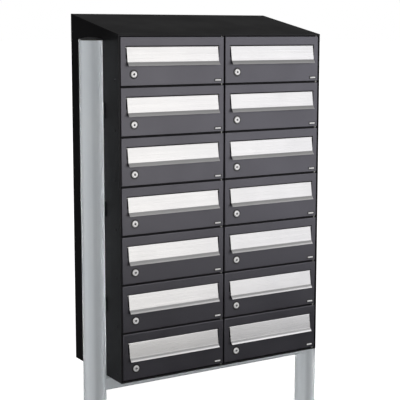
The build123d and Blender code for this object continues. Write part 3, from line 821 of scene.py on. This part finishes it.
# ---------------------------------------------------------------- assembly

def add_piece(name, mesh, body, slot, at=(0, 0, 0)):
    piece = bpy.data.objects.new(name, mesh)
    bpy.context.scene.collection.objects.link(piece)
    piece.location = at
    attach(piece, body)
    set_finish(piece, slot)
    return piece


def with_material(mesh, material):
    mesh.materials.clear()
    mesh.materials.append(material)
    return mesh


def add_group(rows, shared, body, tag, at):
    """Adds the pieces that ride on one body, and returns the first of them."""
    made = [add_piece(f"{name}_{tag}", shared[key], body, slot, at) for key, name, slot in rows]
    return made[0]


def build_doors(materials):
    shared = {
        "leaf": with_material(door_leaf_mesh(), materials["door_powder_coat"]),
        "rod": with_material(rod_mesh(), materials["zinc_plated_steel"]),
        "left_buffer": with_material(buffer_mesh(-1), materials["rubber_pad"]),
        "right_buffer": with_material(buffer_mesh(1), materials["rubber_pad"]),
        "housing": with_material(lock_housing_mesh(), materials["lock_nickel"]),
        "nut": with_material(lock_nut_mesh(), materials["zinc_plated_steel"]),
        # black ring that paints the shadow round each lock head
        "shadow_ring": with_material(lock_shadow_ring_mesh(), materials["rubber_pad"]),
        "badge": with_material(badge_mesh(), materials["cap_plastic"]),
        "inlay": with_material(inlay_mesh(), materials["badge_white"]),
        "flap": with_material(flap_mesh(), materials["flap_stainless"]),
        "plug": with_material(lock_plug_mesh(), materials["lock_nickel"]),
        # black disc that paints the shade round the keyhole
        "shade_disc": with_material(keyhole_shade_disc_mesh(), materials["cap_plastic"]),
        "cam": with_material(lock_cam_mesh(), materials["zinc_plated_steel"]),
        "screw": with_material(lock_screw_mesh(), materials["zinc_plated_steel"]),
    }
    door_pieces = (
        ("leaf", "door_leaf", "door_powder_coat"),
        ("rod", "flap_rod", "zinc_plated_steel"),
        ("left_buffer", "left_flap_buffer", "rubber_pad"),
        ("right_buffer", "right_flap_buffer", "rubber_pad"),
        ("housing", "lock_housing", "lock_nickel"),
        ("nut", "lock_nut", "zinc_plated_steel"),
        # black ring that paints the shadow round the lock head
        ("shadow_ring", "lock_gasket", "rubber_pad"),
        ("badge", "blank_badge", "cap_plastic"),
        ("inlay", "badge_inlay", "badge_white"),
    )
    lock_pieces = (
        ("plug", "lock_plug", "lock_nickel"),
        # black disc that paints the shade round the keyhole
        ("shade_disc", "key_shutter", "cap_plastic"),
        ("cam", "lock_cam", "zinc_plated_steel"),
        ("screw", "lock_screw", "zinc_plated_steel"),
    )
    for column in COLUMNS:
        for row in ROWS:
            tag = f"{column}_{row}"
            lo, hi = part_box(f"door_{tag}")
            at = ((lo.x + hi.x) / 2, 0, hi.z)
            leaf = add_group(door_pieces, shared, f"door_{tag}", tag, at)
            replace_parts(leaf, f"door_{tag}")
            flap = add_piece(f"letter_flap_{tag}", shared["flap"], f"flap_{tag}", "flap_stainless", at)
            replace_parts(flap, f"flap_{tag}")
            plug = add_group(lock_pieces, shared, f"lock_{tag}", tag, at)
            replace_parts(plug, f"lock_{tag}")


def build_stand(materials):
    lo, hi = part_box("left_post")
    post = with_material(post_mesh(lo.z, hi.z), materials["post_aluminium"])
    cap = with_material(cap_mesh(hi.z), materials["cap_plastic"])
    for side in COLUMNS:
        lo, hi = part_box(f"{side}_post")
        at = ((lo.x + hi.x) / 2, (lo.y + hi.y) / 2, 0)
        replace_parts(add_piece(f"{side}_tube", post, "cabinet", "post_aluminium", at), f"{side}_post")
        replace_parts(add_piece(f"{side}_post_cap", cap, "cabinet", "cap_plastic", at), "post_caps")


def dress_cad_nodes(materials):
    """CAD nodes whose shape is already right get their material."""
    slots = {entry["node"]: entry["material_slot"] for entry in frame["record"]["subparts"]}
    for name, node in frame["nodes"].items():
        if node.hide_render:
            continue
        for place in node.material_slots:
            place.material = materials[slots[name]]


# ------------------------------------------------- camera, lights and floor

def make_camera():
    data = bpy.data.cameras.new("camera")
    data.sensor_width = 36.0
    data.lens = CAMERA_LENS
    data.shift_y = CAMERA_SHIFT_Y
    data.clip_end = 200.0
    camera = bpy.data.objects.new("camera", data)
    camera.location = CAMERA_POS
    camera.rotation_euler = (math.pi / 2 - CAMERA_PITCH, 0, -CAMERA_YAW)
    bpy.context.scene.collection.objects.link(camera)
    bpy.context.scene.camera = camera


def softbox(name, at, target, width, height, radiance, tint=(1, 1, 1)):
    """Rectangular light of even brightness, aimed at a point and not seen by the camera."""
    data = bpy.data.lights.new(name, "AREA")
    data.shape = "RECTANGLE"
    data.size = width
    data.size_y = height
    data.energy = radiance * math.pi * width * height
    data.color = tint
    light = bpy.data.objects.new(name, data)
    light.location = at
    light.rotation_euler = (Vector(at) - Vector(target)).to_track_quat("Z", "Y").to_euler()
    light.visible_camera = False
    bpy.context.scene.collection.objects.link(light)
    return light


def group(name, objects):
    collection = bpy.data.collections.new(name)
    for item in objects:
        collection.objects.link(item)
    return collection


def make_world():
    """Pale to the camera; for the object, a dim studio with glows to the left, in front and overhead."""
    world = bpy.data.worlds.new("studio")
    bpy.context.scene.world = world
    world.use_nodes = True
    tree = world.node_tree
    tree.nodes.clear()

    def node(kind, inputs=None, **settings):
        made = tree.nodes.new(kind)
        for key, value in settings.items():
            setattr(made, key, value)
        for key, value in (inputs or {}).items():
            if isinstance(value, bpy.types.NodeSocket):
                tree.links.new(value, made.inputs[key])
            else:
                made.inputs[key].default_value = value
        return made

    direction = node("ShaderNodeTexCoord").outputs["Generated"]

    def glow(towards, start, end, strength):
        share = node("ShaderNodeVectorMath", {0: direction, 1: towards}, operation="DOT_PRODUCT")
        ramp = node(
            "ShaderNodeMapRange",
            {
                "Value": share.outputs["Value"],
                "From Min": start,
                "From Max": end,
                "To Min": 0.0,
                "To Max": strength,
            },
            interpolation_type="SMOOTHSTEP",
        )
        return ramp.outputs[0]

    level = None
    for towards, start, end, strength in WORLD_GLOWS:
        part = glow(Vector(towards).normalized(), start, end, strength)
        level = node("ShaderNodeMath", {0: part, 1: WORLD_BASE if level is None else level}).outputs[0]
    lit = node("ShaderNodeBackground", {"Strength": level})
    seen = node("ShaderNodeBackground", {"Color": (1.0, 1.0, 1.0, 1.0), "Strength": 1.0})
    path = node("ShaderNodeLightPath")
    both = node(
        "ShaderNodeMixShader",
        {0: path.outputs["Is Camera Ray"], 1: lit.outputs[0], 2: seen.outputs[0]},
    )
    node("ShaderNodeOutputWorld", {"Surface": both.outputs[0]})


def make_floor():
    """Plain pale floor, glowing to white away from the object so that it has no horizon."""
    bm = bmesh.new()
    bmesh.ops.create_grid(bm, x_segments=2, y_segments=2, size=FLOOR_HALF)
    mesh = bpy.data.meshes.new("floor")
    bm.to_mesh(mesh)
    bm.free()
    m = Nodes("floor")
    place = m.add("ShaderNodeTexCoord").outputs["Object"]
    away = m.add("ShaderNodeVectorMath", {0: place}, operation="LENGTH").outputs["Value"]
    glow = m.add(
        "ShaderNodeMapRange",
        {"Value": away, "From Min": FLOOR_NEAR, "From Max": FLOOR_FAR, "To Min": FLOOR_GLOW, "To Max": 1.0},
        interpolation_type="SMOOTHSTEP",
    )
    m.set(
        Base_Color=colour(0.80, 0.80, 0.80),
        Roughness=0.9,
        Specular_IOR_Level=0.0,
        Emission_Color=colour(1.0, 1.0, 1.0),
        Emission_Strength=glow.outputs[0],
    )
    mesh.materials.append(m.material)
    floor = bpy.data.objects.new("floor", mesh)
    floor.location = (0, 0, cad_bounds[0].z - FLOOR_DROP)
    floor.visible_glossy = False
    floor.visible_diffuse = False
    bpy.context.scene.collection.objects.link(floor)
    floor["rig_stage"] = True


def make_lights():
    """Soft boxes for the painted sheet, and a ring of pale panels for the bare metal alone."""
    stand = [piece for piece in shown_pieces() if piece.get("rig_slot") == "post_aluminium"]
    stand.append(frame["nodes"]["crossbar"])
    painted = [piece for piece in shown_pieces() if piece not in stand]
    turned_away = [piece for piece in painted if piece.name not in ("left_side_panel", "roof")]
    takers = {"painted": group("painted", painted), "turned_away": group("turned_away", turned_away)}
    bare = group("bare_stand", stand)
    for name, at, width, height, radiance, tint, taken_by in SOFTBOXES:
        target = (math.copysign(AIM_X, at[0]), math.copysign(FACE_Y, at[1]), AIM_Z)
        light = softbox(name, at, target, width, height, radiance, tint)
        light.light_linking.receiver_collection = takers[taken_by]
    for azimuth, radiance in STAND_RING:
        turn = math.radians(azimuth)
        at = (RING_R * math.sin(turn), -RING_R * math.cos(turn), RING_Z)
        light = softbox(f"ring_{azimuth}", at, (0, 0, RING_Z), RING_W, RING_H, radiance)
        light.data.cycles.use_multiple_importance_sampling = False
        light.light_linking.receiver_collection = bare
        light.light_linking.blocker_collection = bare


FLOOR_HALF = 2000.0
# distances over which the floor brightens to white, and its glow under the object
FLOOR_NEAR = 0.4
FLOOR_FAR = 2.8
FLOOR_GLOW = 0.72
FLOOR_DROP = 0.5 * MM
AIM_X = 0.1
AIM_Z = 1.45
WORLD_BASE = 0.02
# towards, where the glow starts and is full (cosine from its middle), strength
WORLD_GLOWS = (
    ((-1.0, -0.25, 0.0), 0.35, 0.95, 0.9),
    ((0.25, -0.75, 0.9), 0.5, 0.95, 0.8),
    ((0.65, 0.72, 0.35), 0.7, 1.0, 0.22),
)
# name, place, width, height, radiance, tint, group of pieces that takes the light
SOFTBOXES = (
    ("key_warm", (0.45, -2.15, 1.55), 1.3, 1.9, 1.95, (1.0, 0.985, 0.96), "painted"),
    ("key_cool", (1.62, -1.62, 1.55), 1.3, 1.9, 1.75, (0.97, 0.97, 1.0), "painted"),
    ("front_left", (-3.0, -2.2, 1.2), 1.2, 2.2, 0.8, (1.0, 1.0, 1.0), "turned_away"),
    ("back_left", (-1.5, 2.6, 1.9), 1.6, 1.6, 4.5, (0.98, 0.99, 1.0), "turned_away"),
    ("back_right", (1.7, 2.2, 1.6), 1.6, 1.8, 3.5, (1.0, 0.99, 0.97), "turned_away"),
    ("back_low", (0.0, 2.8, 1.0), 3.0, 2.4, 1.3, (1.0, 1.0, 1.0), "turned_away"),
    ("right_side", (3.0, 0.3, 1.7), 1.6, 2.0, 2.5, (1.0, 1.0, 1.0), "turned_away"),
)
# azimuth round the unit, from the front towards +X, and radiance
STAND_RING = ((-170, 0.8), (-120, 0.4), (-20, 0.28), (30, 0.45), (80, 0.9), (130, 1.1))
RING_R = 3.0
RING_Z = 0.9
RING_W = 2.8
RING_H = 5.0


bpy.context.scene.view_settings.view_transform = "Standard"
make_camera()
make_world()
make_floor()
MATERIALS = make_materials()
build_doors(MATERIALS)
build_stand(MATERIALS)
dress_cad_nodes(MATERIALS)
make_lights()
